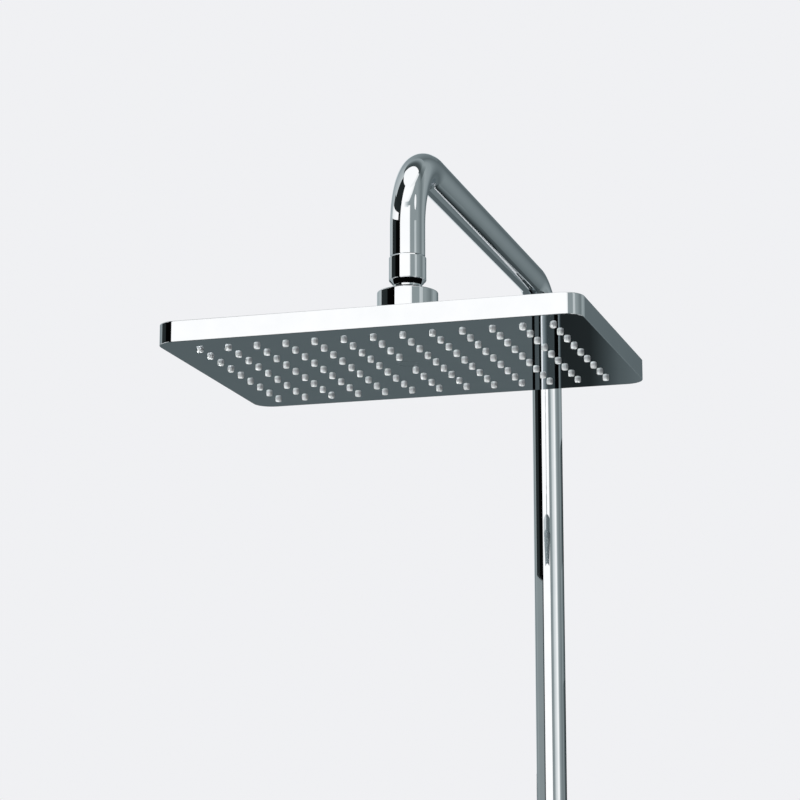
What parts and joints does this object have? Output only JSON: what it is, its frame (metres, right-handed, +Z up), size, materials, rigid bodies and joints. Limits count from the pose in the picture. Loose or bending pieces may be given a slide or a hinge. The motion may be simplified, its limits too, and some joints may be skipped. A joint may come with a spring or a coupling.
{
  "type": "shower system",
  "caption": "Wall-hung shower column: flat rectangular rain head on a ball joint, bent tube arm and riser, wall bracket and thermostatic bar mixer, polished chrome",
  "frame": {"origin": "Midway between the mixer's two water inlets, on the finished wall face", "axes": "+Z up, +Y into the wall, +X to the right as seen by someone facing the wall; the head reaches out towards -Y"},
  "size_m": [0.3, 0.5705, 1.044],
  "materials": {
    "chrome": "polished chrome plate on brass",
    "nozzle_silicone": "soft light-grey translucent silicone",
    "black_rubber": "matt black sealing rubber",
    "white_plastic": "smooth white slide plastic",
    "grey_plastic": "matt grey moulded plastic",
    "steel": "stainless steel, fine turned",
    "brass": "bare turned brass",
    "ceramic": "lapped technical ceramic"
  },
  "bodies": {
    "column": {"swivel_ball": "chrome", "flow_limiter": "white_plastic", "stem_washer": "black_rubber", "strainer": "steel", "arm_nipple": "brass", "bent_arm": "chrome", "pipe_joiner": "brass", "joiner_o_rings": "black_rubber", "riser_pipe": "chrome", "riser_collar": "brass", "riser_washer": "black_rubber", "riser_nut": "chrome", "riser_clamp": "chrome", "clamp_liner": "black_rubber", "clamp_grub_screw": "steel", "wall_plate": "steel", "wall_cover": "chrome", "wall_screws": "steel", "wall_plugs": "grey_plastic", "mixer_body": "chrome", "wall_nipples": "brass", "inlet_rosettes": "chrome", "inlet_washers": "black_rubber", "inlet_nuts": "chrome", "check_valves": "white_plastic", "thermo_cartridge": "grey_plastic", "flow_cartridge": "grey_plastic", "fixed_disc": "ceramic", "cartridge_o_rings": "black_rubber", "stop_ring": "grey_plastic"},
    "upper_seat_ring": {"upper_seat": "white_plastic"},
    "lower_seat_ring": {"lower_seat": "white_plastic"},
    "head": {"face_plate": "chrome", "centre_cap": "chrome", "centre_screw": "steel", "nozzle_mat": "nozzle_silicone", "mat_seal": "black_rubber", "spray_plate": "grey_plastic", "plate_screws": "steel", "head_shell": "chrome", "inlet_boss": "brass", "boss_seal": "black_rubber", "retaining_nut": "chrome", "ball_o_ring": "black_rubber"},
    "temperature_control": {"temperature_handle": "chrome", "thermo_spindle": "brass", "temperature_screw": "steel", "temperature_cap": "chrome"},
    "thermostat_shuttle": {"thermo_shuttle": "brass"},
    "stop_release": {"stop_button": "chrome"},
    "flow_control": {"flow_handle": "chrome", "flow_spindle": "brass", "moving_disc": "ceramic", "flow_screw": "steel", "flow_cap": "chrome"}
  },
  "joints": [
    {"name": "head_spin", "type": "hinge", "parent": "column", "child": "upper_seat_ring", "pos_m": [0, -0.436, 0.9005], "axis": [0, 0, 1], "range_deg": [-180, 180]},
    {"name": "head_pitch", "type": "hinge", "parent": "upper_seat_ring", "child": "lower_seat_ring", "pos_m": [0, -0.436, 0.9005], "axis": [1, 0, 0], "range_deg": [-12, 12]},
    {"name": "head_roll", "type": "hinge", "parent": "lower_seat_ring", "child": "head", "pos_m": [0, -0.436, 0.9005], "axis": [0, 1, 0], "range_deg": [-12, 12]},
    {"name": "temperature_turn", "type": "hinge", "parent": "column", "child": "temperature_control", "pos_m": [0.112, -0.065, 0], "axis": [1, 0, 0], "range_deg": [-220, 60]},
    {"name": "shuttle_slide", "type": "slide", "parent": "column", "child": "thermostat_shuttle", "axis": [1, 0, 0], "range_m": [-0.00095, 0.0003]},
    {"name": "stop_press", "type": "slide", "parent": "temperature_control", "child": "stop_release", "axis": [0, 0, -1], "range_m": [0, 0.0015], "stiffness_N_per_m": 800, "springref_m": -0.0012},
    {"name": "flow_turn", "type": "hinge", "parent": "column", "child": "flow_control", "pos_m": [-0.117, -0.065, 0], "axis": [1, 0, 0], "range_deg": [0, 90]}
  ],
  "couplings": [
    {"joint": "shuttle_slide", "follows": "temperature_turn", "m_per_rad": 0.000239}
  ]
}
